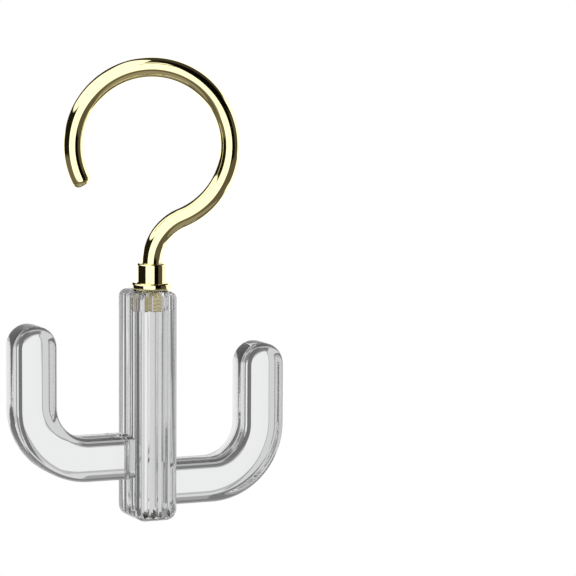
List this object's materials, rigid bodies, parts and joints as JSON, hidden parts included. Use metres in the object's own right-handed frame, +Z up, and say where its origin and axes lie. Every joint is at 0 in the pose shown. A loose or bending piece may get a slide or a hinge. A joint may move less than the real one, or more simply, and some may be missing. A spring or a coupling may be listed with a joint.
{
  "type": "rotating purse holder",
  "caption": "Rotating purse holder: a bent rod hook turns on a clear reeded post that carries two clear J-shaped arms.",
  "frame": {"origin": "the inside of the hook's crown, on the swivel's axis, where the rail carries the part", "axes": "+Z up along the swivel's axis; the two arms reach along X, the higher one to -X; the flat sides of the arms face -Y and +Y. At rest the hook's plane is turned 21.5 degrees about Z, clockwise from above, and its mouth is on the -X side"},
  "size_m": [0.0986, 0.0262, 0.1585],
  "materials": {
    "champagne_gold": "polished pale gold plating",
    "clear_acrylic": "clear, colourless and polished",
    "natural_nylon": "plain milky nylon",
    "zinc_plate": "bright zinc plate"
  },
  "bodies": {
    "hook": {"hook_rod": "champagne_gold", "retaining_washer": "zinc_plate", "retaining_screw": "zinc_plate"},
    "post": {"collar_barrel": "champagne_gold", "collar_flange": "champagne_gold", "threaded_stud": "champagne_gold", "upper_thrust_washer": "natural_nylon", "lower_thrust_washer": "natural_nylon", "reeded_post": "clear_acrylic", "arm_left": "clear_acrylic", "arm_right": "clear_acrylic"}
  },
  "joints": [
    {"name": "hook_swivel", "type": "hinge", "parent": "hook", "child": "post", "pos_m": [0, 0, -0.06365], "axis": [0, 0, 1], "continuous": true}
  ]
}
